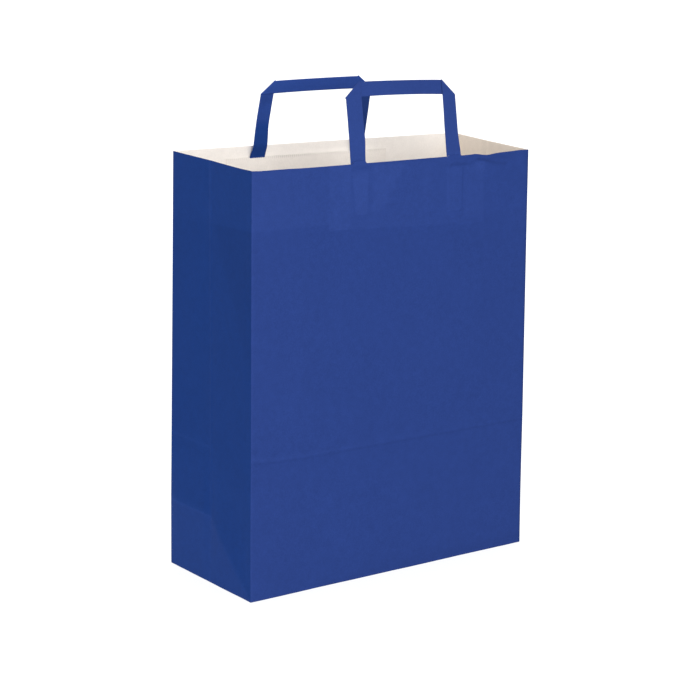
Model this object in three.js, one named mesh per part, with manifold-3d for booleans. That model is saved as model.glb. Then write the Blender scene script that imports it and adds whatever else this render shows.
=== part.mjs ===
// A paper carrier bag standing open, with two flat folded paper handles.
// The bag is one folded sheet with a turned-in hem, two gussets and a glued block bottom.
// Each handle is one paper ribbon, held to the inside of its wall by a glued patch.
// Lengths are in millimetres. The origin is the middle of the base, on the floor.
// +X runs along the front wall, +Y runs from the front to the back and +Z runs up.
import * as THREE from "three";
import { mergeVertices } from "three/addons/utils/BufferGeometryUtils.js";
import Module from "manifold-3d";

const wasm = await Module();
wasm.setup();

// The bag
const width = 350; // along the front wall
const depth = 140; // along a gusset
const height = 420; // from the floor to the rim
const paper = 0.2; // one layer of the bag's sheet
const hemDrop = 60; // from the rim to the lower edge of the turned-in hem
const baseLap = 12; // how far the front base flap laps past the middle of the base
const gussetFold = 1.5; // how far a gusset's middle crease stands in from flat
const creaseBulge = 0.8; // how far a wall's crease stands out from flat

// The handles
const ribbonWidth = 16;
const ribbonThick = 0.8; // the ribbon is several plies of paper
const handleWidth = 139; // over the outer edges of the two legs
const handleShift = 16; // from the wall's middle to the handle's middle
const frontRise = 76; // from the rim to the top of the front bar, along its slope
const backRise = 68; // the same for the back bar
const lean = THREE.MathUtils.degToRad(11); // how far a handle leans in over the mouth
const legDrop = 56; // from the rim to the lower end of a leg
const foldGap = 0.2; // between the two plies of a folded corner
const foldEdge = 1.2; // width of the closed edge of a folded corner

// The patches
const patchWidth = 198;
const patchShift = 15; // from the wall's middle to the patch's middle
const patchDrop = 12; // from the rim to the patch's upper edge
const patchTall = 54;
const patchThick = 0.2;
const patchRamp = 3; // run of the slope where the patch climbs over a leg
const glue = 0.05; // the film of glue between two layers

// What follows from them
const floorThick = 3 * paper; // side tucks, back flap and front flap
const hemLow = height - hemDrop;
const backCrease = depth / 2;
const frontCrease = depth;
const hemThick = 2 * paper;
const hingeDrop = patchDrop - ribbonThick; // a handle bends just above its patch
const cutMargin = 5; // how far a cutting solid reaches past what it cuts

const printedPaper = new THREE.MeshStandardMaterial({
  color: 0x2f468a,
  roughness: 0.6,
  metalness: 0,
  side: THREE.DoubleSide,
});
const ribbonPaper = new THREE.MeshStandardMaterial({
  color: 0x30478b,
  roughness: 0.65,
  metalness: 0,
});
const whitePaper = new THREE.MeshStandardMaterial({
  color: 0xe9dfd5,
  roughness: 0.85,
  metalness: 0,
});

// A three.js geometry as a closed manifold solid.
function solid(geometry) {
  const bare = new THREE.BufferGeometry();
  bare.setAttribute("position", geometry.getAttribute("position"));
  bare.setIndex(geometry.getIndex());
  const merged = mergeVertices(bare, 1e-5);
  return new wasm.Manifold(
    new wasm.Mesh({
      numProp: 3,
      vertProperties: merged.attributes.position.array,
      triVerts: new Uint32Array(merged.index.array),
    }),
  );
}

// A manifold solid as a three.js geometry with flat-shaded faces.
function geometryOf(body) {
  const mesh = body.getMesh();
  const geometry = new THREE.BufferGeometry();
  geometry.setAttribute("position", new THREE.BufferAttribute(mesh.vertProperties, 3));
  geometry.setIndex(new THREE.BufferAttribute(mesh.triVerts, 1));
  const flat = geometry.toNonIndexed();
  flat.computeVertexNormals();
  return flat;
}

// A prism of an outline in the X-Y plane, from one height to another.
function upright(points, low, high) {
  const outline = new THREE.Shape(points.map(([x, y]) => new THREE.Vector2(x, y)));
  const geometry = new THREE.ExtrudeGeometry(outline, {
    depth: high - low,
    bevelEnabled: false,
  });
  return geometry.translate(0, 0, low);
}

// A prism of an outline in the X-Z plane, from one depth to another along Y.
function slab(points, near, far) {
  return upright(points, 0, far - near)
    .rotateX(Math.PI / 2)
    .translate(0, far, 0);
}

// A prism of an outline in the Y-Z plane, from one place to another along X.
function strip(points, left, right) {
  return upright(points, 0, right - left)
    .rotateX(Math.PI / 2)
    .rotateZ(Math.PI / 2)
    .translate(left, 0, 0);
}

// How far a wall stands out at a height: nothing at the base and at the hem, most at its crease.
function bulgeAt(z, crease) {
  if (z <= crease) return (creaseBulge * z) / crease;
  return creaseBulge * Math.max(0, (hemLow - z) / (hemLow - crease));
}

// The six corners of the tube at one height: four corners and the two gussets' middle creases.
function ring(z, inset) {
  const side = width / 2 - inset;
  const front = -depth / 2 - bulgeAt(z, frontCrease) + inset;
  const back = depth / 2 + bulgeAt(z, backCrease) - inset;
  const fold = gussetFold * Math.min(1, z / backCrease);
  return [
    [-side, front, z],
    [side, front, z],
    [side - fold, 0, z],
    [side, back, z],
    [-side, back, z],
    [-side + fold, 0, z],
  ];
}

// A closed solid through a stack of rings. On a gusset the faces are split along the crease
// that climbs from the corner to the middle fold.
function loft(rings) {
  const sides = 6;
  const firstOfFold = [2, 5];
  const faces = [];
  for (let level = 0; level + 1 < rings.length; level++) {
    for (let i = 0; i < sides; i++) {
      const low = level * sides;
      const a = low + i;
      const b = low + ((i + 1) % sides);
      const c = b + sides;
      const d = a + sides;
      if (firstOfFold.includes(i)) faces.push(a, b, d, b, c, d);
      else faces.push(a, b, c, a, c, d);
    }
  }
  const top = (rings.length - 1) * sides;
  for (const [a, b, c] of [[0, 1, 2], [0, 2, 5], [5, 2, 3], [5, 3, 4]]) {
    faces.push(a, c, b);
    faces.push(top + a, top + b, top + c);
  }
  const geometry = new THREE.BufferGeometry();
  geometry.setAttribute(
    "position",
    new THREE.Float32BufferAttribute(rings.flat(2), 3),
  );
  geometry.setIndex(faces);
  return geometry;
}

// What the flaps leave open on the underside: the two side tucks, and the slope of the back
// flap from the front flap's edge down to the floor.
function underside() {
  const tucks = [-1, 1].map((side) => {
    const edge = (side * width) / 2;
    const outline = [
      [edge + side * cutMargin, -depth / 2 - cutMargin],
      [edge + side * cutMargin, depth / 2 + cutMargin],
      [edge - (side * depth) / 2, 0],
    ];
    if (side < 0) outline.reverse();
    return solid(upright(outline, -cutMargin, paper));
  });
  const slope = [
    [baseLap, paper],
    [baseLap, -cutMargin],
    [depth / 2, -cutMargin],
    [depth / 2, 0],
  ];
  const reach = width / 2 + cutMargin;
  return tucks[0].add(tucks[1]).add(solid(strip(slope, -reach, reach)));
}

// The folded sheet: printed outside and white inside, two layers thick along the hem.
function bagBody() {
  const outside = loft(
    [0, backCrease, frontCrease, hemLow, height].map((z) => ring(z, 0)),
  );
  const inside = loft([
    ...[floorThick, backCrease, frontCrease, hemLow].map((z) => ring(z, paper)),
    ...[hemLow, height + cutMargin].map((z) => ring(z, hemThick)),
  ]);
  const tube = solid(outside).subtract(solid(inside));
  const mesh = new THREE.Mesh(geometryOf(tube.subtract(underside())), printedPaper);
  mesh.name = "bag_body";
  return mesh;
}

// The ribbon, in a frame whose Z runs up the handle's slope from the bend, with Y pointing in
// over the mouth. Its legs are on the outside and its bar is folded behind them.
function handle(name, rise) {
  const top = rise + hingeDrop;
  const left = handleShift - handleWidth / 2;
  const right = handleShift + handleWidth / 2;
  const barLow = top - ribbonWidth;
  const below = legDrop - hingeDrop;
  const barNear = ribbonThick + foldGap;
  const barFar = barNear + ribbonThick;

  const legProfile = [
    [0, 0],
    [below * Math.sin(lean), -below * Math.cos(lean)],
    [
      ribbonThick * Math.cos(lean) + below * Math.sin(lean),
      ribbonThick * Math.sin(lean) - below * Math.cos(lean),
    ],
    [ribbonThick, ribbonThick * Math.tan(lean / 2)],
    [ribbonThick, top],
    [0, top],
  ];
  const bar = [
    [left, barLow],
    [right, barLow],
    [right - ribbonWidth, top],
    [left + ribbonWidth, top],
  ];
  let body = solid(slab(bar, barNear, barFar));
  for (const [edge, inward] of [[left, 1], [right, -1]]) {
    const inner = edge + inward * ribbonWidth;
    const leg = solid(
      strip(legProfile, Math.min(edge, inner), Math.max(edge, inner)),
    );
    const beyond = [
      [edge - inward * cutMargin, barLow - cutMargin],
      [inner + inward * cutMargin, top + cutMargin],
      [edge - inward * cutMargin, top + cutMargin],
    ];
    const closedEdge = [
      [edge, barLow],
      [edge + inward * foldEdge, barLow],
      [inner, top - foldEdge],
      [inner, top],
    ];
    if (inward < 0) {
      beyond.reverse();
      closedEdge.reverse();
    }
    const corner = solid(slab(beyond, -cutMargin, barFar + cutMargin));
    body = body.add(leg.subtract(corner)).add(solid(slab(closedEdge, 0, barFar)));
  }
  const mesh = new THREE.Mesh(geometryOf(body), ribbonPaper);
  mesh.name = name;
  mesh.position.set(0, glue, height - hingeDrop);
  mesh.rotation.x = -lean;
  return mesh;
}

// The patch: flat against the hem, and stepped over each leg.
function patch(name) {
  const raised = 2 * glue + ribbonThick;
  const left = patchShift - patchWidth / 2;
  const right = patchShift + patchWidth / 2;
  const face = [[left, glue]];
  for (const legLeft of [
    handleShift - handleWidth / 2,
    handleShift + handleWidth / 2 - ribbonWidth,
  ]) {
    const legRight = legLeft + ribbonWidth;
    face.push([legLeft - patchRamp, glue], [legLeft - glue, raised]);
    face.push([legRight + glue, raised], [legRight + patchRamp, glue]);
  }
  face.push([right, glue]);
  const back = face.map(([x, y]) => [x, y + patchThick]).reverse();
  const high = height - patchDrop;
  const mesh = new THREE.Mesh(
    upright([...face, ...back], high - patchTall, high),
    whitePaper,
  );
  mesh.name = name;
  return mesh;
}

// A handle and its patch on the inside face of the front hem, turned about Z for the back.
function handleSet(side, rise, turn) {
  const inner = new THREE.Group();
  inner.position.y = -depth / 2 + hemThick;
  inner.add(handle(side + "_handle", rise), patch(side + "_handle_patch"));
  const set = new THREE.Group();
  set.add(inner);
  set.rotation.z = turn;
  return set;
}

const bag = new THREE.Group();
bag.add(bagBody());
bag.add(handleSet("front", frontRise, 0));
bag.add(handleSet("back", backRise, Math.PI));

export default bag;
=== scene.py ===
# The looks of an open paper carrier bag: a folded printed sheet, two ribbon handles and their patches.
# Shapes are worked out in millimetres, in the frame's own axes, and turned into metres in the meshes.
import math

import bpy
from mathutils import Matrix, Vector, noise


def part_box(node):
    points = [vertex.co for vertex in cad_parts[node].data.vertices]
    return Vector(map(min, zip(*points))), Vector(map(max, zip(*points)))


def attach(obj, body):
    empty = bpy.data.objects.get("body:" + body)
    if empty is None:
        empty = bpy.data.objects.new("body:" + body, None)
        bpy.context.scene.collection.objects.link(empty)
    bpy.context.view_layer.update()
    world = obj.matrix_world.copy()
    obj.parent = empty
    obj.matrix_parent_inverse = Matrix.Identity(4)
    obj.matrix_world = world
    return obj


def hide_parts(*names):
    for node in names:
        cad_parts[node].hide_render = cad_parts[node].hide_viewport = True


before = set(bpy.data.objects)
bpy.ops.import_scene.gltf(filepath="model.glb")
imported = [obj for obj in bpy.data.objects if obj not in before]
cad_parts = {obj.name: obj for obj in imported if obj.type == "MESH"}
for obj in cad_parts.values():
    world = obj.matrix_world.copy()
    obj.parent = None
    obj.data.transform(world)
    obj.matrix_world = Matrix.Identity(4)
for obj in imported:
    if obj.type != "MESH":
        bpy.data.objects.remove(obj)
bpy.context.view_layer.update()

MM = 0.001


def box_mm(node):
    """A CAD node's lowest and highest corners in millimetres."""
    return [[value / MM for value in corner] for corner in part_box(node)]


# The bag. Its size comes from the frame, and its creases stand out as they do in the solids.
BULGE = 0.8
GUSSET_FOLD = 1.5
BODY_LOW, BODY_HIGH = box_mm("bag_body")
WIDTH = BODY_HIGH[0] - BODY_LOW[0]
DEPTH = BODY_HIGH[1] - BODY_LOW[1] - 2 * BULGE
HEIGHT = BODY_HIGH[2]
FRONT_CREASE = DEPTH
BACK_CREASE = DEPTH / 2
HEM_DROP = 60
HEM_LOW = HEIGHT - HEM_DROP
BASE_LAP = 12

# The sheet. The lifts are the heights of the base's outer face, which lies over the flaps, and of its
# inner face. The flaps' edges stand in a little from the base's outline.
PAPER = 0.2
HEM_THICK = 0.6
CORNER_RADIUS = 0.5
BASE_RADIUS = 0.35
CAP_LIFT = 0.6
FLOOR_LIFT = 1.0
FLAP_EDGE = 0.9

# The handles and patches. Places along a wall are counted from its left edge, as seen from outside.
# CAD_LEAN is how far the solids' ribbons lean in.
RIBBON_THICK = 0.8
FOLD_GAP = 0.2
LEG_DROP = 54
HINGE_DROP = 11.2
CAD_LEAN = math.radians(11)
GLUE = 0.05
PATCH_THICK = 0.2
PATCH_RAMP = 4

# How far a patch's lower and upper edges lie above the frame's at the patch's two ends
PATCH_TILT = (3.375, -4.125)
PATCH_RISE = {"front": (0.0, 0.0), "back": (0.7, 1.2)}


def wall_span(node, side):
    """Where a node starts and ends along its wall, and its lowest and highest points."""
    low, high = box_mm(node)
    if side == "front":
        return low[0] + WIDTH / 2, high[0] + WIDTH / 2, low[2], high[2]
    return WIDTH / 2 - high[0], WIDTH / 2 - low[0], low[2], high[2]


HANDLE = {side: wall_span(side + "_handle", side) for side in ("front", "back")}
PATCH = {side: wall_span(side + "_handle_patch", side) for side in ("front", "back")}

# How far each leg's outer edge stands in from the frame's, and the leg's width, at four places:
# where it is glued, at the rim, a third of the way up and at the folded corner
LEG_STATIONS = (-HINGE_DROP, 0.0, 23.0, 62.0)
LEG_FORM = {
    ("front", 0): ((-3.2, -3.5, -2.5, -2.1), (20.5, 18.5, 19.4, 19.1)),
    ("front", 1): ((0.0, 1.8, 3.1, 2.9), (20.6, 18.7, 17.1, 16.4)),
    ("back", 0): ((0.5, 1.0, 1.0, 1.4), (15.5, 15.5, 15.3, 19.5)),
    ("back", 1): ((-0.6, 0.8, 0.5, 1.6), (17.9, 16.7, 15.4, 15.4)),
}

# Where the marks of the glued legs start and end below the rim, and how far the two edges of each of
# the front's marks drift along the wall for each millimetre down
MARK_TOP = 13
LEG_ENDS = {"front": (51.0, 56.0), "back": (LEG_DROP, LEG_DROP)}
MARK_DRIFT = ((0.136, -0.028), (0.039, -0.018))

# How the open mouth stands off the base's outline, at its four corners (x, y), and how far each
# gusset's middle crease leans back there
MOUTH_SHIFT = {
    (-1, -1): (-8.5, 2.0),
    (1, -1): (-11.3, 6.4),
    (1, 1): (2.0, 0.3),
    (-1, 1): (-1.7, 5.7),
}
CREASE_LEAN = {-1: 4.4, 1: 2.0}

# How much higher the mouth stands than the frame's, how much more its front left corner does, and how
# far below the rim the rows start to bend with it
MOUTH_RISE = 0.8
CORNER_LIFT = 0.45
RIM_ZONE = 14

# How far the foot of the front wall stands to the right, and where up the wall that ends
FOOT_SHIFT = 0.9
FOOT_HIGH = 110

# How far each wall's crease lies below the solids', and how it climbs at the front's left edge
FRONT_CREASE_DROP = 4.1
BACK_CREASE_DROP = 1.9
CREASE_CLIMB = 4.2
CLIMB_RUN = 25

# Mesh steps. The fine zones lie round the first leg's root and round the pinched folds, and the near
# values say how close to a crease the next row or column lies.
COARSE = 3.5
BACK_STEP = 5.0
MIDDLE_STEP = 6.0
INNER_STEP = 2.5
FINE = 1.6
FINE_ZONES = ((114, 145), (236, 330))
NEAR_CREASE = 1.5
NEAR_GUSSET_CREASE = 1.2
EDGE_SOFT = 0.8
FILLET_STEPS = 5


def mix(a, b, t):
    return a + (b - a) * t


def ease(t):
    """0 below 0 and 1 above 1, with a smooth step between."""
    t = min(1.0, max(0.0, t))
    return t * t * (3 - 2 * t)


def window(value, low, high, soft):
    """1 between low and high, fading to 0 over soft at each end."""
    return ease((value - low) / soft + 0.5) * ease((high - value) / soft + 0.5)


def hat(value, low, peak, high):
    """0 at low and high and 1 at the peak, straight between."""
    if value <= peak:
        return max(0.0, (value - low) / (peak - low))
    return max(0.0, (high - value) / (high - peak))


def bell(value, middle, spread):
    return math.exp(-(((value - middle) / spread) ** 2))


def line(away, half):
    """1 on a line, fading to 0 half a width away from it."""
    return ease(1 - abs(away) / half)


def stroke(spot, path, half):
    """How near a spot is to a line through several points: 1 on the line, 0 half a width away."""
    nearest = half
    for start, end in zip(path, path[1:]):
        run = (end[0] - start[0], end[1] - start[1])
        away = (spot[0] - start[0], spot[1] - start[1])
        share = (away[0] * run[0] + away[1] * run[1]) / (run[0] ** 2 + run[1] ** 2)
        share = min(1.0, max(0.0, share))
        nearest = min(nearest, math.hypot(away[0] - share * run[0], away[1] - share * run[1]))
    return ease(1 - nearest / half)


def racked(x, y, z):
    """A point moved with the mouth, which stands a little askew, or with the front wall's foot."""
    rise = min(1.0, max(0.0, z / HEIGHT))
    right = min(1.0, max(0.0, x / WIDTH + 0.5))
    back = min(1.0, max(0.0, y / DEPTH + 0.5))
    shift_x = shift_y = 0.0
    for (side_x, side_y), (move_x, move_y) in MOUTH_SHIFT.items():
        share = (right if side_x > 0 else 1 - right) * (back if side_y > 0 else 1 - back)
        shift_x += share * move_x
        shift_y += share * move_y
    foot = FOOT_SHIFT * (1 - back) * max(0.0, 1 - z / FOOT_HIGH) ** 2
    return Vector((x + rise * shift_x + foot, y + rise * shift_y, z + rise * MOUTH_RISE))


def wall_point(side, along, inward, z):
    """A point given along a wall and inward from its outside face, before the mouth's shift."""
    if side == "front":
        return Vector((along - WIDTH / 2, -DEPTH / 2 + inward, z))
    return Vector((WIDTH / 2 - along, DEPTH / 2 - inward, z))


def make_piece(name, points, faces, materials, slots=None, looks=None):
    """A mesh object in metres from points in millimetres. slots gives each face's material, and
    looks gives each point's tone (a share lighter or darker) and gusset share."""
    mesh = bpy.data.meshes.new(name)
    mesh.from_pydata([tuple(co * MM for co in p) for p in points], [], faces)
    for material in materials:
        mesh.materials.append(material)
    if slots:
        mesh.polygons.foreach_set("material_index", slots)
    if looks:
        layer = mesh.attributes.new("look", "FLOAT_VECTOR", "POINT")
        layer.data.foreach_set("vector", [value for look in looks for value in (*look, 0.0)])
    mesh.shade_smooth()
    mesh.update()
    piece = bpy.data.objects.new(name, mesh)
    bpy.context.scene.collection.objects.link(piece)
    return piece


# Materials
class Nodes:
    """A short way to write a material's node tree."""

    def __init__(self, name):
        self.material = bpy.data.materials.new(name)
        self.material.use_nodes = True
        self.tree = self.material.node_tree
        self.shader = self.tree.nodes["Principled BSDF"]
        self.place = self.tree.nodes.new("ShaderNodeTexCoord").outputs["Object"]

    def link(self, value, socket):
        if isinstance(value, bpy.types.NodeSocket):
            self.tree.links.new(value, socket)
        elif socket.type == "VECTOR":
            socket.default_value = value[:3]
        else:
            socket.default_value = value

    def look(self):
        """The tone and the gusset share that the mesh's points carry."""
        node = self.tree.nodes.new("ShaderNodeAttribute")
        node.attribute_name = "look"
        split = self.tree.nodes.new("ShaderNodeSeparateXYZ")
        self.tree.links.new(node.outputs["Vector"], split.inputs[0])
        return split.outputs[0], split.outputs[1]

    def math(self, operation, a, b=0.0):
        node = self.tree.nodes.new("ShaderNodeMath")
        node.operation = operation
        self.link(a, node.inputs[0])
        self.link(b, node.inputs[1])
        return node.outputs[0]

    def noise(self, scale, detail):
        """Cloudy noise with scale features to the metre."""
        node = self.tree.nodes.new("ShaderNodeTexNoise")
        self.link(self.place, node.inputs["Vector"])
        node.inputs["Scale"].default_value = scale
        node.inputs["Detail"].default_value = detail
        return node.outputs[0]

    def around(self, value, share):
        """A noise value as a factor that swings by share either side of 1."""
        return self.math("ADD", self.math("MULTIPLY", self.math("SUBTRACT", value, 0.5), 2 * share), 1.0)

    def tinted(self, color, tint, factor):
        """A colour mixed towards another by a factor."""
        node = self.tree.nodes.new("ShaderNodeMix")
        node.data_type = "RGBA"
        self.link(factor, node.inputs["Factor"])
        self.link(color, node.inputs["A"])
        self.link(tint, node.inputs["B"])
        return node.outputs["Result"]

    def scaled(self, color, factor):
        """A colour made lighter or darker by a factor."""
        node = self.tree.nodes.new("ShaderNodeVectorMath")
        node.operation = "SCALE"
        self.link(color, node.inputs[0])
        self.link(factor, node.inputs["Scale"])
        return node.outputs[0]

    def bump(self, height, distance, strength):
        node = self.tree.nodes.new("ShaderNodeBump")
        self.link(height, node.inputs["Height"])
        node.inputs["Distance"].default_value = distance
        node.inputs["Strength"].default_value = strength
        self.tree.links.new(node.outputs[0], self.shader.inputs["Normal"])

    def finish(self, color, roughness, specular):
        self.link(color, self.shader.inputs["Base Color"])
        self.shader.inputs["Roughness"].default_value = roughness
        self.shader.inputs["Specular IOR Level"].default_value = specular
        return self.material


# The walls' blue holds a painted sheen that the gussets' blue lacks, and the pale blue is painted sheen
# mixed in where the printed tone is lighter.
WALL_BLUE = (0.0175, 0.0395, 0.171, 1)
GUSSET_BLUE = (0.0078, 0.0345, 0.168, 1)
RIBBON_BLUE = (0.0200, 0.0428, 0.176, 1)
PAINTED_SHEEN_BLUE = (0.35, 0.42, 0.62, 1)
WALL_PAINTED_SHEEN = 0.06
OFF_WHITE = (0.88, 0.835, 0.79, 1)
# The gussets' white inside is a darker, warmer copy of the walls' white: painted shade.
SHADED_GUSSET_WHITE = (0.80, 0.712, 0.62, 1)
PATCH_WHITE = (0.87, 0.82, 0.77, 1)

# How many features to the metre the paper's clouds, mottling, fibres and surfaces have, how high the
# surfaces' bumps are in metres, and how the two faces shine
CLOUDS, MOTTLING, FIBRES = 22, 150, 750
PRINT_SURFACE, WHITE_SURFACE = 900, 700
BUMP_HEIGHT = 0.00006
PRINT_ROUGHNESS, PRINT_SPECULAR = 0.55, 0.02
WHITE_ROUGHNESS, WHITE_SPECULAR = 0.8, 0.15


def paper_grain(nodes, cloud, mottle, fleck):
    """The factor by which the paper's tone swings, from soft clouds down to single fibres."""
    clouds = nodes.around(nodes.noise(CLOUDS, 3.0), cloud)
    spots = nodes.around(nodes.noise(MOTTLING, 4.0), mottle)
    flecks = nodes.around(nodes.noise(FIBRES, 2.0), fleck)
    return nodes.math("MULTIPLY", nodes.math("MULTIPLY", clouds, spots), flecks)


def printed_material(name, wall, gusset, painted_sheen_share, mottle):
    """Printed paper: where its tone is lighter it also takes a little painted sheen. Its gusset share
    moves it towards the blue that has no painted sheen.
    """
    nodes = Nodes(name)
    tone, on_gusset = nodes.look()
    painted_sheen = nodes.math("MULTIPLY", nodes.math("MAXIMUM", tone, 0.0), painted_sheen_share)
    color = nodes.tinted(wall, gusset, on_gusset)
    color = nodes.scaled(color, nodes.math("ADD", tone, 1.0))
    color = nodes.tinted(color, PAINTED_SHEEN_BLUE, painted_sheen)
    color = nodes.scaled(color, paper_grain(nodes, 0.05, mottle, 0.17))
    nodes.bump(nodes.noise(PRINT_SURFACE, 2.0), BUMP_HEIGHT, 0.5)
    return nodes.finish(color, PRINT_ROUGHNESS, PRINT_SPECULAR)


def white_material(name, wall, gusset):
    nodes = Nodes(name)
    tone, on_gusset = nodes.look()
    color = nodes.tinted(wall, gusset, on_gusset)
    shade = nodes.math("MULTIPLY", nodes.math("ADD", tone, 1.0), paper_grain(nodes, 0.03, 0.05, 0.06))
    nodes.bump(nodes.noise(WHITE_SURFACE, 3.0), BUMP_HEIGHT, 0.4)
    return nodes.finish(nodes.scaled(color, shade), WHITE_ROUGHNESS, WHITE_SPECULAR)


# The bag's body: six panels round the tube
CORNERS = ("front_left", "front_right", "right_middle", "back_right", "back_left", "left_middle")
FRONT_PANEL, BACK_PANEL, LAST_PANEL = 0, 3, 5
BACK_HALF_PANELS = (2, BACK_PANEL, 4)
ROUNDED_AT_START = (0, 1, 3, 4)
ROUNDED_AT_END = (0, 2, 3, 5)
PANEL_LENGTH = (WIDTH, DEPTH / 2, DEPTH / 2, WIDTH, DEPTH / 2, DEPTH / 2)

# The hem's lower edge at each corner of the tube, below the rim
HEM_DROPS = (56.0, 60.5, 61.5, 62.5, 65.0, 61.0)

# Pinched folds beside the right leg of the front handle, as places along the wall and below the rim
FIRST_FOLD = ((244.1, 10.3), (246.7, 8.7), (263.0, 9.3), (270.9, 9.8), (277.0, 7.5), (281.0, 5.8))
SECOND_FOLD = ((281.9, 5.2), (287.7, 6.4), (298.1, 9.2), (305.9, 11.2), (318.9, 12.2))


def stand_out(z, crease):
    """How far a wall stands out at a height: most at its crease, and nothing at base and hem."""
    return BULGE * hat(z, 0, crease, HEM_LOW)


def tube_corners(z, inset):
    side = WIDTH / 2 - inset
    front = -DEPTH / 2 - stand_out(z, FRONT_CREASE) + inset
    back = DEPTH / 2 + stand_out(z, BACK_CREASE) - inset
    fold = GUSSET_FOLD * min(1.0, max(0.0, z / BACK_CREASE))
    lean = max(0.0, z / HEIGHT) ** 2
    return [
        Vector((-side, front)),
        Vector((side, front)),
        Vector((side - fold, CREASE_LEAN[1] * lean)),
        Vector((side, back)),
        Vector((-side, back)),
        Vector((-side + fold, CREASE_LEAN[-1] * lean)),
    ]


def leg_spans(side):
    """Where a handle's two legs start and end along the wall, where they are glued."""
    left, right = HANDLE[side][:2]
    (inset_left, *_), (width_left, *_) = LEG_FORM[side, 0]
    (inset_right, *_), (width_right, *_) = LEG_FORM[side, 1]
    left += inset_left
    right -= inset_right
    return (left, left + width_left), (right - width_right, right)


def leg_marks(side, below):
    """Where the two glued legs show through their wall at a distance below the rim. The front's
    legs lie a little out of true."""
    if side == "back":
        return leg_spans(side)
    reach = below - MARK_TOP
    return [
        (start + start_drift * reach, end + end_drift * reach)
        for (start, end), (start_drift, end_drift) in zip(leg_spans(side), MARK_DRIFT)
    ]


def gusset_place(panel, along):
    """How far back a place on a gusset lies from its front edge, or None on the other walls."""
    half = DEPTH / 2
    return {1: along, 2: half + along, 4: 2 * half - along, 5: half - along}.get(panel)


def stops_along(panel):
    """The places of the mesh's columns along a panel."""
    length = PANEL_LENGTH[panel]
    if panel in (FRONT_PANEL, BACK_PANEL):
        side = "front" if panel == FRONT_PANEL else "back"
        count = round(length / (COARSE if side == "front" else BACK_STEP))
        stops = {round(length * i / count, 3) for i in range(1, count)}
        if side == "front":
            for low, high in FINE_ZONES:
                stops = {s for s in stops if not low < s < high}
                stops |= {low + FINE * i for i in range(int((high - low) / FINE) + 1)}
        edges = [edge for span in leg_spans(side) for edge in span] + list(PATCH[side][:2])
        for edge in edges:
            stops = {s for s in stops if abs(s - edge) > 1.6 * EDGE_SOFT}
            stops |= {edge - EDGE_SOFT, edge, edge + EDGE_SOFT}
        return [CORNER_RADIUS] + sorted(stops) + [length - CORNER_RADIUS]
    count = round(length / COARSE)
    stops = [length * i / count for i in range(1, count)]
    if panel in ROUNDED_AT_START:
        return [CORNER_RADIUS] + stops + [length - NEAR_GUSSET_CREASE]
    return [0.0, NEAR_GUSSET_CREASE] + stops + [length - CORNER_RADIUS]


def tube_columns():
    """Every column of the mesh, in order round the tube: panel, place along it, share of a fillet."""
    columns = []
    for panel in range(len(CORNERS)):
        if panel in ROUNDED_AT_START:
            for step in range(1, FILLET_STEPS):
                columns.append((panel, 0.0, step / FILLET_STEPS))
        columns += [(panel, along, None) for along in stops_along(panel)]
    return columns


def front_crease(along):
    """The height of the front's crease, which runs nearly level and climbs at the left edge."""
    return FRONT_CREASE - FRONT_CREASE_DROP + CREASE_CLIMB * math.exp(-along / CLIMB_RUN)


def back_crease():
    return BACK_CREASE - BACK_CREASE_DROP


def gusset_crease(back):
    """The height of a gusset's crease: level on its back half, and climbing on its front half."""
    return back_crease() * min(1.0, max(0.02, back / (DEPTH / 2)))


# The dip in the front rim right of the second leg: where it starts and is deepest, how deep it is,
# and the runs in and out
DIP_START, DIP_DEEPEST = 276, 297
DIP_DEPTH = 1.8
DIP_RUN_IN, DIP_RUN_OUT = 19, 17


def rim_wave(along):
    """How far the front rim stands above the straight rim: over the legs' roots, before the dip and
    at the two ends, less its sag and the dip."""
    first, second = leg_spans("front")
    lift = 2.5 * window(along, first[0] + 1.3, first[1] - 3.2, 2.5)
    lift += 1.2 * window(along, second[0] + 1, second[1] - 3, 3)
    lift += 0.3 * bell(along, DIP_START + 1, 5)
    lift += CORNER_LIFT * bell(along, 0, 6) + 0.35 * bell(along, WIDTH - 12, 9)
    sag = 0.55 * ease((along - 30) / 40) * ease((WIDTH - 20 - along) / 60)
    if along < DIP_DEEPEST:
        dip = DIP_DEPTH * ease((along - DIP_START) / DIP_RUN_IN)
    else:
        dip = DIP_DEPTH * math.exp((DIP_DEEPEST - along) / DIP_RUN_OUT)
    return lift - sag - dip


def row_height(panel, along, z):
    """A row's height at a column: rows bend to follow the creases and the rim."""
    near_rim = ease((z - HEIGHT + RIM_ZONE) / RIM_ZONE)
    if panel == FRONT_PANEL:
        z += (front_crease(along) - FRONT_CREASE) * hat(z, BACK_CREASE + 4, FRONT_CREASE, HEM_LOW - 20)
        z += rim_wave(along) * near_rim
    if panel == LAST_PANEL:
        z += CORNER_LIFT * bell(along, DEPTH / 2, 14) * near_rim
    if panel in BACK_HALF_PANELS:
        z -= BACK_CREASE_DROP * hat(z, 0, BACK_CREASE, FRONT_CREASE - 4)
    return z


def patch_low(side, along):
    """The patch's lower edge, which runs a little out of level."""
    left, right, low, _ = PATCH[side]
    return low + mix(*PATCH_TILT, (along - left) / (right - left))


def patch_high(side, along):
    """The patch's upper edge, which on the back wall lies a little higher than drawn."""
    left, right, _, high = PATCH[side]
    return high + mix(*PATCH_RISE[side], (along - left) / (right - left))


# How far the patch and the legs press out through their wall, and how a crease is pressed in
PATCH_RELIEF = 0.13
LEG_RELIEF = 0.15
CREASE_RELIEF = 0.22

# The paper's broad and small waves: height, runs along and up the wall, and seed
WAVES = ((0.5, 60, 75, 7.3), (0.12, 17, 22, 3.1))


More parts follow.
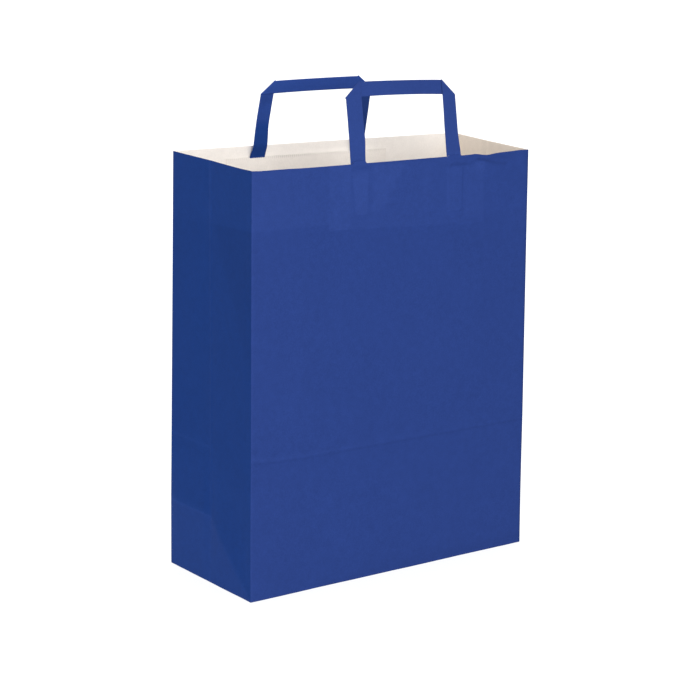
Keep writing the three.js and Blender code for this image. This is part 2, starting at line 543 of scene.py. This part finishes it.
def wall_relief(side, along, z):
    """What stands out on the printed face of a front or back wall: patch, legs and folds."""
    left, right, _, high = PATCH[side]
    soft = 2 * EDGE_SOFT
    out = PATCH_RELIEF * window(along, left, right, soft) * window(z, patch_low(side, along), high, soft)
    below = HEIGHT - z
    for (start, end), leg_end in zip(leg_marks(side, below), LEG_ENDS[side]):
        out += LEG_RELIEF * window(along, start, end, soft) * ease((leg_end - below) / soft + 0.5)
    if side == "front":
        out += fold_relief(along, below)
    return out


def fold_relief(along, below):
    """The pinched folds: grooves with the paper raised above them, and the bulge between the two."""
    spot = (along, below)
    above = (along, below + 3)
    out = 0.35 * stroke(above, FIRST_FOLD, 4) - 0.4 * stroke(spot, FIRST_FOLD, 2.4)
    out += 0.25 * stroke(above, SECOND_FOLD, 5) - 0.25 * stroke(spot, SECOND_FOLD, 2.6)
    out += 0.5 * bell(along, 282, 8) * bell(below, 12, 8)
    return out - window(along, 281, 320, 14) * ease((5 - below) / 5)


def relief(panel, along, z):
    """How far the printed face stands out from the plain folded tube."""
    length = PANEL_LENGTH[panel]
    fade = ease(along / 12) * ease((length - along) / 12)
    out = 0.0
    for tall, run_along, run_up, seed in WAVES:
        out += tall * fade * noise.noise(Vector((along / run_along, z / run_up, seed * panel)))
    back = gusset_place(panel, along)
    if back is None:
        side = "front" if panel == FRONT_PANEL else "back"
        crease = front_crease(along) if side == "front" else back_crease()
        out -= CREASE_RELIEF * hat(z, crease - NEAR_CREASE, crease, crease + NEAR_CREASE)
        out += wall_relief(side, along, z) * ease(along / 4) * ease((length - along) / 4)
    else:
        crease = gusset_crease(back)
        out += fade * min(1.0, crease / 30) * hat(z, 0, crease, crease + 60)
        out += 0.25 * max(0.0, 1 - abs(back - DEPTH / 2) / 1.3) * ease((z - BACK_CREASE) / 10)
    return out


def tube_point(column, z, inset):
    """A point of the sheet: column round the tube, height, and distance in from the outside."""
    panel, along, bend = column
    corners = tube_corners(z, inset)
    start, end = corners[panel], corners[(panel + 1) % len(corners)]
    if bend is not None:
        radius = max(CORNER_RADIUS - inset, 0.2)
        before = start + (corners[panel - 1] - start).normalized() * radius
        after = start + (end - start).normalized() * radius
        spot = before.lerp(start, bend).lerp(start.lerp(after, bend), bend)
        return Vector((spot.x, spot.y, z))
    spot = start.lerp(end, along / PANEL_LENGTH[panel])
    outward = Vector((end.y - start.y, start.x - end.x)).normalized()
    spot += outward * relief(panel, along, z)
    return Vector((spot.x, spot.y, z))


# The tones of the printed faces, most of them painted light and shade. The factor before each shape is
# the share by which it lightens or darkens the paper. First how soft the hem's edge is, how far above a
# crease its painted light line runs, and how high the gussets' faint crease lies. Then how far below the
# rim the painted dark strip over the pinched folds ends, and how far a blot's right edge moves left for
# each millimetre down.
HEM_SOFT = 2.5
CREASE_LIGHT = 3.2
FAINT_CREASE = 138.0
PINCHED_LOW = 9
BLOT_SLANT = 0.6


def hem_low(panel, along):
    """The height of the hem's lower edge, which isn't quite level."""
    after = (panel + 1) % len(CORNERS)
    return HEIGHT - mix(HEM_DROPS[panel], HEM_DROPS[after], along / PANEL_LENGTH[panel])


def on_hem(panel, along, z):
    """1 where the hem lies behind the printed face."""
    return ease((z - hem_low(panel, along)) / HEM_SOFT + 0.5)


def on_patch(side, along, z):
    """1 where the patch lies behind the printed face."""
    left, right = PATCH[side][:2]
    return window(along, left, right, 1.2) * ease((z - patch_low(side, along)) / 1.5 + 0.5)


def glue_tone(along, below):
    """The lighter blots where the glued patch draws the front wall flat, left of its middle."""
    left, right = PATCH["front"][:2]
    first, second = leg_spans("front")
    low_first, low_second = LEG_ENDS["front"]
    (mark_left, mark_right), _ = leg_marks("front", below)
    grain = 0.7 + 0.9 * noise.noise(Vector((along / 4, below / 16, 3.3)))
    tone = 0.012 * window(along, left, right, 2)
    tone += 0.045 * window(along, left, first[0] - 1, 3) * grain
    tone += 0.065 * window(along, mark_left, mark_right, 2.5) * window(below, 9, low_first, 4)
    ragged = 9 * noise.noise(Vector((along / 7, below / 7, 8.1)))
    blot_right = ease((187 - along - BLOT_SLANT * below - ragged) / 5 + 0.5)
    blot_left = ease((along - mark_right - 7 - 0.5 * ragged) / 3 + 0.5)
    tone += 0.055 * blot_right * blot_left * window(below, 3, 48, 5)
    tone += 0.03 * bell(along, 213, 5) * window(below, 8, 45, 20)
    tone += 0.035 * window(along, second[0], second[1] - 1, 2) * window(below, 12, low_second, 3)
    tone += 0.03 * window(along, second[1] + 1.5, right, 4) * window(below, 8, 62, 6)
    return tone


def leg_edge_painted_shading(along, below):
    """Painted shade along the edges of the glued legs pressed through the front wall, and a painted
    light line by the second leg's left edge.
    """
    low_first, low_second = LEG_ENDS["front"]
    top_first, top_second = leg_marks("front", MARK_TOP)
    foot_first = leg_marks("front", low_first)[0]
    foot_second = leg_marks("front", low_second)[1]
    round_first = ((top_first[0], MARK_TOP), (foot_first[0], low_first), (foot_first[1], low_first))
    corner = (foot_second[1] - 3, low_second)
    right_of_second = ((top_second[1], MARK_TOP), (foot_second[1], low_second - 2), corner)
    under_second = (corner, (foot_second[0], low_second + 0.5))
    left_of_second = ((top_second[0], MARK_TOP), (foot_second[0], low_second))
    spot = (along, below)
    tone = 0.03 * stroke(spot, left_of_second, 1.5)
    tone -= 0.045 * stroke(spot, round_first, 1.8)
    tone -= 0.03 * stroke((along, below - 3), round_first[1:], 1.6)
    tone -= 0.085 * stroke(spot, right_of_second, 1.4)
    tone -= 0.05 * stroke(spot, under_second, 1.4)
    return tone


def fold_painted_shading(along, below):
    """Painted shade in the pinched folds and in a dark strip over them, painted light spots under it, a
    painted shadow under the left leg's root and a faint painted shade along the rim between the legs."""
    spot = (along, below)
    tone = -mix(0.17, 0.05, ease((along - 265) / 10)) * stroke(spot, FIRST_FOLD, 2.2)
    tone -= mix(0.20, 0.11, ease((along - 290) / 20)) * stroke(spot, SECOND_FOLD, 2.4)
    strip = 0.05 * window(along, 261, 282, 6) + 0.07 * window(along, 283, 322, 12)
    tone -= strip * ease((PINCHED_LOW - below) / 3)
    tone += 0.045 * bell(along, 282, 5) * bell(below, 9.5, 4)
    tone += 0.035 * bell(along, 285, 9) * bell(below, 18, 11)
    first = leg_spans("front")[0]
    tone -= 0.07 * window(along, first[0] - 1, first[1] + 2, 5) * bell(below, 4.5, 1.8)
    tone -= 0.03 * window(along, 150, 238, 40) * bell(below, 1.2, 1.2)
    return tone


def front_tone(along, z):
    """The front darkens to the right. It has the lighter marks of hem, patch and legs, which also take
    painted sheen, painted shade and light round the legs, over the folds and along a crease, a dark
    foot, a lighter lower edge, and painted light and shade on its left and right edges."""
    below = HEIGHT - z
    share = along / WIDTH
    patched = on_patch("front", along, z)
    tone = mix(0.02, -0.035, share)
    tone += mix(0.055, 0.025, share) * max(on_hem(FRONT_PANEL, along, z), patched)
    tone += patched * glue_tone(along, below) + leg_edge_painted_shading(along, below)
    tone += ease((24 - below) / 10) * fold_painted_shading(along, below)
    over_crease = z - front_crease(along)
    # Painted shade along the crease, and a painted light line just above it
    tone -= mix(0.055, 0.08, share) * line(over_crease, 2.1)
    tone += mix(0.05, 0.015, share) * line(over_crease - CREASE_LIGHT, 2.6)
    foot = mix(5, 22, ease((along - 40) / 190))
    tone -= mix(0.02, 0.06, ease((along - 40) / 120)) * ease((foot - z) / foot)
    tone -= 0.03 * bell(along, 343, 9) * bell(z, 11, 5)
    tone += 0.10 * ease((2.6 - z) / 1.6) * (0.4 + noise.noise(Vector((along / 30, 2.0, 5.0))))
    # A painted highlight along the left corner and painted shade along the right one
    tone += 0.05 * ease((2.2 - along) / 1.5) - 0.20 * ease((along - WIDTH + 2.2) / 1.4)
    return tone


def gusset_painted_shading(back, z, hem):
    """A gusset is a little lighter over its hem. Its painted light and shade: a light stripe along its
    middle crease, shade on its upper front half, light below its crease and low down, and light lines
    along its two lower creases with shade just under the faint one."""
    middle = back - DEPTH / 2
    on_back_half = ease(middle / 6)
    tone = 0.02 * hem
    stripe = mix(0.045, 0.11, hem) * line(middle, 3.0)
    tone += stripe * (0.8 + 0.5 * noise.noise(Vector((0.0, z / 18, 4.0))))
    shade_low = HEM_LOW + 2.15 * middle
    tone -= 0.07 * ease(-middle / 2) * ease((z - shade_low) / 26) * (1 - hem)
    over_crease = z - gusset_crease(back)
    tone += 0.055 * ease(0.5 - over_crease / 3) + 0.03 * ease((150 - z) / 60)
    tone += mix(0.07, 0.11, ease(middle / 4)) * line(over_crease, 2.6)
    tone += 0.07 * on_back_half * line(z - FAINT_CREASE, 2.6)
    tone -= 0.06 * on_back_half * line(z - FAINT_CREASE + 5, 4)
    return tone


# The back's lighter hem, patch and leg marks, which also take painted sheen, painted shade round the
# legs and along the crease with a painted light line above it, and darker towards the bottom.
def back_tone(along, z):
    patched = on_patch("back", along, z)
    tone = 0.05 * max(on_hem(BACK_PANEL, along, z), patched) + 0.02 * patched
    low = HEIGHT - LEG_DROP
    for start, end in leg_spans("back"):
        tone += 0.03 * window(along, start, end, 2) * ease((z - low) / 2 + 0.5)
        tone -= 0.06 * stroke((along, z), ((end, HEIGHT - 12), (end, low), (start, low)), 1.4)
    over_crease = z - back_crease()
    tone -= 0.08 * line(over_crease, 1.9)
    tone += 0.04 * line(over_crease - CREASE_LIGHT, 2.6)
    tone -= 0.05 * ease((14 - z) / 12)
    return tone


def printed_look(panel, along, z):
    """The tone and gusset share of a place on the printed face. Below a gusset's crease the share falls,
    letting in some of the walls' painted sheen.
    """
    back = gusset_place(panel, along)
    if back is None:
        return (front_tone if panel == FRONT_PANEL else back_tone)(along, z), 0.0
    under_crease = ease((gusset_crease(back) - z) / 3 + 0.5)
    return gusset_painted_shading(back, z, on_hem(panel, along, z)), mix(1.0, 0.75, under_crease)


def inside_look(panel, along, z):
    """The tone and gusset share of a place on the white inside, with painted shade in the corners and
    painted light in the walls' middles.
    The gussets have a painted light stripe along the middle crease and painted light towards the back.
    The back wall has painted shadows of the legs and a painted light line over the patch."""
    back = gusset_place(panel, along)
    tone = 0.0
    if panel in ROUNDED_AT_START:
        tone -= 0.05 * line(along, 6)
    if panel in ROUNDED_AT_END:
        tone -= 0.05 * line(PANEL_LENGTH[panel] - along, 6)
    if back is not None:
        return tone + 0.06 * line(back - DEPTH / 2, 3.0) + 0.06 * ease((back - 60) / 30), 1.0
    tone += 0.07 * bell(along, 185, 70)
    if panel == BACK_PANEL:
        above = z - patch_high("back", along)
        for (start, end), depth in zip(leg_spans("back"), (0.12, 0.04)):
            tone -= depth * window(along, start, end + 1.2, 1.5) * ease(above / 2)
        patch_line_highlight = mix(0.08, 0.03, ease((along - 155) / 40)) * window(along, 137, 244, 8)
        tone += patch_line_highlight * ease(above + 0.2) * ease((4.5 - above) / 3)
    return tone, 0.0


def outer_rows():
    """Heights and insets of the mesh's rows up the outside, from the base's fold to the rim."""
    rows = []
    for angle in (90, 60, 30):
        turn = math.radians(angle)
        rows.append((BASE_RADIUS * (1 - math.sin(turn)), BASE_RADIUS * (1 - math.cos(turn))))
    heights = [1.8] + [COARSE * i for i in range(1, round(BACK_CREASE / COARSE))]
    heights += [BACK_CREASE - NEAR_CREASE, BACK_CREASE, BACK_CREASE + NEAR_CREASE]
    heights += [FRONT_CREASE + NEAR_CREASE * i for i in (-2, -1, 0, 1, 2, 3)]
    fine_low = HEM_LOW - 12
    z = BACK_CREASE + MIDDLE_STEP
    while z < fine_low:
        if abs(z - FRONT_CREASE) > 2 * NEAR_CREASE:
            heights.append(z)
        z += MIDDLE_STEP
    z = fine_low
    while z < HEIGHT - 2:
        heights.append(z)
        z += FINE
    rows += [(h, 0.0) for h in sorted(heights)]
    return rows + [(HEIGHT - 1.2, 0.0)]


def rim_rows():
    """The rows over the turned-in rim, from the outside to the hem's inner face."""
    radius = HEM_THICK / 2
    rows = []
    for angle in (0, 30, 60, 90, 120, 150, 180):
        turn = math.radians(angle)
        rows.append((HEIGHT - radius * (1 - math.sin(turn)), radius * (1 - math.cos(turn))))
    return rows


def inner_rows():
    """The rows down the inside, from under the rim to the floor."""
    heights = [HEIGHT - INNER_STEP / 2 * i for i in range(1, 11)]
    heights += [HEIGHT - INNER_STEP * i for i in range(6, round(HEM_DROP / INNER_STEP))]
    rows = [(h, HEM_THICK) for h in heights + [HEM_LOW]]
    below = [HEM_LOW] + [HEM_LOW - 20 * i for i in range(1, 11)]
    for crease in (FRONT_CREASE, BACK_CREASE):
        below += [crease + NEAR_CREASE, crease, crease - NEAR_CREASE]
    below += [120, 95, 52, 35, 17, FLOOR_LIFT]
    return rows + [(h, PAPER) for h in sorted(set(below), reverse=True)]


def sheet_mesh():
    """The sheet's points, faces, each face's material and each point's look."""
    columns = tube_columns()
    rows = [(CAP_LIFT, BASE_RADIUS + CAP_LIFT)] + outer_rows()
    rim = rim_rows()
    first_white = len(rows) + len(rim) // 2
    rows += rim + inner_rows()
    points, faces, slots, looks = [], [], [], []
    for level, (z, inset) in enumerate(rows):
        for column in columns:
            panel, along, _ = column
            height = row_height(panel, along, z)
            points.append(racked(*tube_point(column, height, inset)))
            look = printed_look if level <= first_white else inside_look
            looks.append(look(panel, along, height))
    count = len(columns)
    for level in range(len(rows) - 1):
        slot = 1 if level >= first_white else 0
        for i in range(count):
            a = level * count + i
            b = level * count + (i + 1) % count
            faces.append((a, b, b + count, a + count))
            slots.append(slot)
    for level, z, turn, slot in ((0, CAP_LIFT, False, 0), (len(rows) - 1, FLOOR_LIFT, True, 1)):
        middle = len(points)
        points.append(Vector((0, 0, z)))
        looks.append((0.0, 0.0))
        for i in range(count):
            a = level * count + i
            b = level * count + (i + 1) % count
            faces.append((a, b, middle) if turn else (b, a, middle))
            slots.append(slot)
    return points, faces, slots, looks


def bag_body(printed, white):
    points, faces, slots, looks = sheet_mesh()
    piece = make_piece("folded_bag", points, faces, [printed, white], slots, looks)
    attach(piece, "root")
    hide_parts("bag_body")


def flat_sheet(name, outline, low, thick, material):
    """A thin flat sheet with softened edges, lying level."""
    soft = thick / 3
    middle = sum((Vector(p) for p in outline), Vector((0, 0))) / len(outline)
    levels = ((low, soft), (low + soft, 0), (low + thick - soft, 0), (low + thick, soft))
    points = []
    for z, inset in levels:
        for p in outline:
            toward = (middle - Vector(p)).normalized() * inset
            points.append(racked(p[0] + toward.x, p[1] + toward.y, z))
    count = len(outline)
    faces = [tuple(reversed(range(count))), tuple(range(3 * count, 4 * count))]
    for level in range(len(levels) - 1):
        for i in range(count):
            a, b = level * count + i, level * count + (i + 1) % count
            faces.append((a, b, b + count, a + count))
    piece = make_piece(name, points, faces, [material])
    piece.data.shade_flat()
    face_out(piece)
    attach(piece, "root")


def base_flaps(printed, white):
    """The glued flaps under the base, and the side tucks that show on the floor inside."""
    x, y = WIDTH / 2 - FLAP_EDGE, DEPTH / 2 - FLAP_EDGE
    back = [(x, y), (-x, y), (-x + y, 0), (-x + y, -BASE_LAP), (x - y, -BASE_LAP), (x - y, 0)]
    flat_sheet("back_base_flap", back, PAPER, PAPER, printed)
    reach = x - y - BASE_LAP
    front = [(-x, -y), (x, -y), (reach, BASE_LAP), (-reach, BASE_LAP)]
    flat_sheet("front_base_flap", front, 0.0, PAPER, printed)
    inside = WIDTH / 2 - 2 * FLAP_EDGE
    run = DEPTH / 2 - 2 * FLAP_EDGE
    for name, side in (("left_base_tuck", -1), ("right_base_tuck", 1)):
        outline = [(side * inside, -side * run), (side * inside, side * run), (side * (inside - run), 0)]
        flat_sheet(name, outline, FLOOR_LIFT, PAPER, white)


# The handles. Each leg goes straight up from its lower end to the hinge at the patch's upper edge,
# leans in to the rim by the first angle, and leans in above it by the second.
LEANS = {
    "front": (math.radians(4), math.radians(13)),
    "back": (math.radians(20), math.radians(11)),
}

# The bar's lower and upper edges at its two ends, measured up the slope from the frame's rise, and
# how far each edge is higher in the middle
BAR_LOW = {"front": (-13.2, -15.7, 2.3), "back": (-11.4, -12.7, 1.4)}
BAR_HIGH = {"front": (2.2, 0.2, 0.7), "back": (2.5, 1.3, 0.4)}
ALONG_STEPS = 48
BAR_STEPS = 48
ACROSS = (0.0, 0.03, 0.1, 0.22, 0.36, 0.5, 0.64, 0.78, 0.9, 0.97, 1.0)
FOLD_STEPS = 6
HINGE_SOFT = 2.0

# How far the free paper of a leg and of a bar warps
LEG_WARP = 0.35
BAR_WARP = 0.3


def cad_rise(side):
    """The frame's height of a handle's bar above the rim, measured up the slope."""
    return (HANDLE[side][3] - HEIGHT - RIBBON_THICK) / math.cos(CAD_LEAN)


def slope_at(side, up):
    """How far inward and how high the ribbon's middle is at a distance above the rim, measured up
    the slope, and the angle that it leans at there."""
    root, lean = LEANS[side]
    inward = HEM_THICK + GLUE + RIBBON_THICK / 2
    z = HEIGHT + min(up, -HINGE_DROP)
    leaning = min(max(up + HINGE_DROP, 0.0), HINGE_DROP)
    inward += leaning * math.sin(root) + max(up, 0.0) * math.sin(lean)
    z += leaning * math.cos(root) + max(up, 0.0) * math.cos(lean)
    angle = root * ease((up + HINGE_DROP) / HINGE_SOFT + 0.5)
    angle += (lean - root) * ease(up / HINGE_SOFT + 0.5)
    return inward, z, angle


def leg_form(side, leg, up):
    """Where a leg's outer edge stands in from the frame's edge and how wide the leg is."""
    result = []
    for values in LEG_FORM[side, leg]:
        value = values[0]
        for i in range(1, len(LEG_STATIONS)):
            low, high = LEG_STATIONS[i - 1 : i + 1]
            value += (values[i] - values[i - 1]) * ease((up - low) / (high - low))
        result.append(value)
    return result


def on_slope(side, along, up, behind=0.0):
    """A point on the ribbon's slope, behind it by some distance, and the slope's outward normal."""
    inward, z, angle = slope_at(side, up)
    sine, cosine = math.sin(angle), math.cos(angle)
    spot = wall_point(side, along, inward + behind * cosine, z - behind * sine)
    outward = wall_point(side, 0, -cosine, sine) - wall_point(side, 0, 0, 0)
    return spot, outward


def bar_edges(side, share):
    """The bar's lower and upper edges, up the slope, at a share of the way along it."""
    rise = cad_rise(side)
    crown = (4 * share * (1 - share)) ** 0.6
    ends = [rise + mix(form[side][0], form[side][1], share) for form in (BAR_LOW, BAR_HIGH)]
    return ends[0] + BAR_LOW[side][2] * crown, ends[1] + BAR_HIGH[side][2] * crown


def leg_edges(side, leg, up):
    """A leg's outer and inner edges along the wall, at a height up the slope."""
    inset, width = leg_form(side, leg, up)
    way = 1 if leg == 0 else -1
    outer = HANDLE[side][leg] + way * inset
    return outer, outer + way * width


def corner_points(side, leg):
    """The folded corner's two ends: on the leg's outer edge, and where its inner edge meets the bar."""
    low, high = bar_edges(side, leg)
    return (leg_edges(side, leg, low)[0], low), (leg_edges(side, leg, high)[1], high)


def leg_rows(side, leg):
    """The rows of a leg from its lower end to its folded corner, each a list of (point, normal)."""
    start, end = corner_points(side, leg)
    rows = []
    for i in range(ALONG_STEPS + 1):
        row = []
        for across in ACROSS:
            top = mix(start[1], end[1], across)
            up = mix(-LEG_DROP, top, i / ALONG_STEPS)
            outer, inner = leg_edges(side, leg, up)
            spot, outward = on_slope(side, mix(outer, inner, across), up)
            free = ease((up + 6) / 14) * ease((top - up) / 18)
            wave = noise.noise(Vector((leg * 9 + 3, up / 17, across + (0 if side == "front" else 7))))
            row.append((spot + outward * LEG_WARP * free * wave, outward))
        rows.append(row)
    return rows


def fold_rows(side, leg):
    """The rows round a folded corner, turning the ribbon from the leg to the bar behind it."""
    radius = (RIBBON_THICK + FOLD_GAP) / 2
    start, end = (Vector(p) for p in corner_points(side, leg))
    slant = (end - start).normalized()
    way = 1 if leg == 0 else -1
    out = Vector((-way * slant.y, way * slant.x))
    rows = []
    for i in range(1, FOLD_STEPS):
        turn = math.pi * i / FOLD_STEPS
        row = []
        for across in ACROSS:
            edge = start.lerp(end, across) + out * radius * math.sin(turn)
            behind = radius * (1 - math.cos(turn))
            spot, outward = on_slope(side, edge.x, edge.y, behind)
            beyond, _ = on_slope(side, edge.x + out.x, edge.y + out.y, behind)
            normal = outward * math.cos(turn) + (beyond - spot).normalized() * math.sin(turn)
            row.append((spot, normal))
        rows.append(row)
    return rows


def bar_rows(side):
    """The rows of the bar, which lies behind the legs, from its first corner to its second."""
    first, second = (corner_points(side, leg) for leg in (0, 1))
    rows = []
    for i in range(BAR_STEPS + 1):
        share = i / BAR_STEPS
        low, high = bar_edges(side, share)
        row = []
        for across in ACROSS:
            start = mix(first[0][0], first[1][0], across)
            end = mix(second[0][0], second[1][0], across)
            free = ease(share * 6) * ease((1 - share) * 6)
            wave = noise.noise(Vector((share * 5, across, 11 if side == "front" else 23)))
            behind = RIBBON_THICK + FOLD_GAP + BAR_WARP * free * wave
            spot, outward = on_slope(side, mix(start, end, share), mix(low, high, across), behind)
            row.append((spot, -outward))
        rows.append(row)
    return rows


def thickened(grid, thick, edge_share=0.35):
    """Points and faces of a strip of some thickness about a grid of (point, normal)."""
    across = len(grid[0])
    points = []
    for row in grid:
        for side in (1, -1):
            order = range(across) if side > 0 else range(across - 1, -1, -1)
            for j in order:
                spot, normal = row[j]
                reach = thick / 2 * (edge_share if j in (0, across - 1) else 1.0)
                points.append(spot + normal * side * reach)
    around = 2 * across
    faces = []
    for level in range(len(grid) - 1):
        for i in range(around):
            a = level * around + i
            b = level * around + (i + 1) % around
            faces.append((a, b, b + around, a + around))
    for level, turn in ((0, True), (len(grid) - 1, False)):
        for i in range(across - 1):
            a, b = level * around + i, level * around + i + 1
            c, d = level * around + around - 2 - i, level * around + around - 1 - i
            faces.append((d, c, b, a) if turn else (a, b, c, d))
    return points, faces


def ribbon_painted_shading(side, spot):
    """The ribbon's tone and gusset share at a point above the wall's inside face, both painted light and
    shade. The front's ribbon has painted light at the rim and on its left leg. The back's has painted
    light on its bar and left leg, painted shade just under the bar and low on the leg, and less painted
    sheen low on its left leg."""
    up = spot.z - HEIGHT
    on_left = spot.x < 0
    if side == "front":
        return (0.05 if on_left else 0.0) + 0.10 * bell(up, 1, 2.5) + 0.20 * bell(up, 0.3, 1.2), 0.0
    on_bar = ease((up - 50) / 4)
    if not on_left:
        return 0.42 * on_bar, 0.3
    tone = mix(0.34, 0.42, on_bar) + 0.12 * bell(up, 34, 8) - 0.12 * bell(up, 47, 4)
    return tone - 0.12 * ease((3 - up) / 4), mix(0.8, 0.3, ease((up - 20) / 8))


def ribbon_handle(side, material):
    grid = leg_rows(side, 0) + fold_rows(side, 0)
    grid += bar_rows(side) + fold_rows(side, 1)[::-1] + leg_rows(side, 1)[::-1]
    points, faces = thickened(grid, RIBBON_THICK)
    looks = [ribbon_painted_shading(side, p) for p in points]
    points = [racked(*p) for p in points]
    piece = make_piece(side + "_ribbon_handle", points, faces, [material], looks=looks)
    face_out(piece)
    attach(piece, "root")
    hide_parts(side + "_handle")


def face_out(piece):
    """Turns a closed mesh's faces to point outwards."""
    bpy.context.view_layer.objects.active = piece
    piece.select_set(True)
    bpy.ops.object.mode_set(mode="EDIT")
    bpy.ops.mesh.select_all(action="SELECT")
    bpy.ops.mesh.normals_make_consistent(inside=False)
    bpy.ops.object.mode_set(mode="OBJECT")
    piece.select_set(False)


# The patches
TOOTH_PITCH = 2.4
TOOTH_DEPTH = 0.7
TOOTH_PARTS = 4
PATCH_ROWS = (0.0, 0.2, 0.45, 0.7, 0.86, 0.94, 0.975, 0.99, 1.0)
NOTCHED_ROWS = 3


def patch_piece(side, material):
    """The strip glued over the legs, with its machine-cut toothed upper edge and painted shadow in the
    notches.
    """
    left, right, _, high = PATCH[side]
    teeth = round((right - left) / TOOTH_PITCH)
    steps = teeth * TOOTH_PARTS
    rise = RIBBON_THICK + 2 * GLUE
    outward = wall_point(side, 0, -1, 0) - wall_point(side, 0, 0, 0)
    grid, looks = [], []
    for i in range(steps + 1):
        along = mix(left, right, i / steps)
        tooth = abs(2 * (i % TOOTH_PARTS) / TOOTH_PARTS - 1)
        over_leg = max(climb(along, start, end) for start, end in leg_spans(side))
        top = mix(patch_high(side, along), high, over_leg) - TOOTH_DEPTH * tooth
        row = []
        for share in PATCH_ROWS:
            z = mix(patch_low(side, along), top, share)
            loose = 0.12 * ease((z - high + 5) / 5) * (1 - over_leg)
            loose += 0.12 * noise.noise(Vector((along / 20, z / 15, 5)))
            inward = HEM_THICK + GLUE + PATCH_THICK / 2 + rise * over_leg + max(0.0, loose)
            row.append((wall_point(side, along, inward, z), outward))
        grid.append(row)
        notch_shadow = -mix(0.08, 0.25, window(along, 182, 232, 20)) * tooth
        edge = [0.0] * (len(PATCH_ROWS) - NOTCHED_ROWS) + [notch_shadow] * NOTCHED_ROWS
        looks += [(value, 0.0) for value in edge + edge[::-1]]
    points, faces = thickened(grid, PATCH_THICK, 1.0)
    points = [racked(*p) for p in points]
    piece = make_piece(side + "_glued_patch", points, faces, [material], looks=looks)
    face_out(piece)
    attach(piece, "root")
    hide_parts(side + "_handle_patch")


def climb(along, start, end):
    """1 over a leg, sloping to 0 over the patch's ramp outside it."""
    return ease(1 + (along - start) / PATCH_RAMP) * ease(1 + (end - along) / PATCH_RAMP)


# The studio
CAMERA_TURN = math.radians(-38.07)
CAMERA_TILT = math.radians(13.402)
CAMERA_ROLL = math.radians(2.047)
CAMERA_AWAY = 2.19301
CAMERA_UP = 0.21040
CAMERA_ASIDE = 0.00089
CAMERA_LENS = 108.19
SENSOR = 36.0
KEY_PLACE = (-0.8, -3.0, 1.4)
KEY_TARGET = (0, 0, 0.3)
KEY_SIZE = 1.6
KEY_POWER = 47
FLOOR_HALF = 30.0
FLOOR_GREY = (0.3, 0.3, 0.3, 1)
FLOOR_GLOW = 0.80
FLOOR_ROUGHNESS, FLOOR_SPECULAR = 0.25, 0.2


def add_camera():
    """The photograph's view: from the front left, a little above, with a slight roll."""
    back = Vector((
        math.sin(CAMERA_TURN) * math.cos(CAMERA_TILT),
        -math.cos(CAMERA_TURN) * math.cos(CAMERA_TILT),
        math.sin(CAMERA_TILT),
    ))
    level = Vector((math.cos(CAMERA_TURN), math.sin(CAMERA_TURN), 0))
    upright = back.cross(level)
    right = level * math.cos(CAMERA_ROLL) + upright * math.sin(CAMERA_ROLL)
    up = upright * math.cos(CAMERA_ROLL) - level * math.sin(CAMERA_ROLL)
    data = bpy.data.cameras.new("camera")
    data.lens = CAMERA_LENS
    data.sensor_width = SENSOR
    camera = bpy.data.objects.new("camera", data)
    bpy.context.scene.collection.objects.link(camera)
    camera.location = back * CAMERA_AWAY + up * CAMERA_UP + right * CAMERA_ASIDE
    camera.rotation_mode = "QUATERNION"
    camera.rotation_quaternion = Matrix([[right[i], up[i], back[i]] for i in range(3)]).to_quaternion()
    bpy.context.scene.camera = camera


def add_area(name, place, target, size, power):
    data = bpy.data.lights.new(name, "AREA")
    data.shape = "SQUARE"
    data.size = size
    data.energy = power
    light = bpy.data.objects.new(name, data)
    bpy.context.scene.collection.objects.link(light)
    light.location = place
    way = Vector(target) - Vector(place)
    light.rotation_mode = "QUATERNION"
    light.rotation_quaternion = way.to_track_quat("-Z", "Y")


def add_world():
    """A plain white sky."""
    world = bpy.data.worlds.new("studio")
    world.use_nodes = True
    background = world.node_tree.nodes["Background"]
    background.inputs["Color"].default_value = (1, 1, 1, 1)
    background.inputs["Strength"].default_value = 1.0
    bpy.context.scene.world = world


def add_floor():
    half = FLOOR_HALF / MM
    corners = [(-half, -half, 0), (half, -half, 0), (half, half, 0), (-half, half, 0)]
    nodes = Nodes("studio_floor")
    nodes.shader.inputs["Emission Color"].default_value = (1, 1, 1, 1)
    nodes.shader.inputs["Emission Strength"].default_value = FLOOR_GLOW
    material = nodes.finish(FLOOR_GREY, FLOOR_ROUGHNESS, FLOOR_SPECULAR)
    floor = make_piece("floor", [Vector(c) for c in corners], [(0, 1, 2, 3)], [material])


def add_studio():
    add_world()
    add_area("key", KEY_PLACE, KEY_TARGET, KEY_SIZE, KEY_POWER)
    add_floor()
    bpy.context.scene.view_settings.view_transform = "Standard"


printed = printed_material("printed_paper", WALL_BLUE, GUSSET_BLUE, WALL_PAINTED_SHEEN, 0.10)
ribbon = printed_material("ribbon_paper", RIBBON_BLUE, GUSSET_BLUE, 0.0, 0.05)
white = white_material("white_inside", OFF_WHITE, SHADED_GUSSET_WHITE)
patch = white_material("patch_paper", PATCH_WHITE, PATCH_WHITE)
bag_body(printed, white)
base_flaps(printed, white)
for wall in ("front", "back"):
    ribbon_handle(wall, ribbon)
    patch_piece(wall, patch)
add_camera()
add_studio()
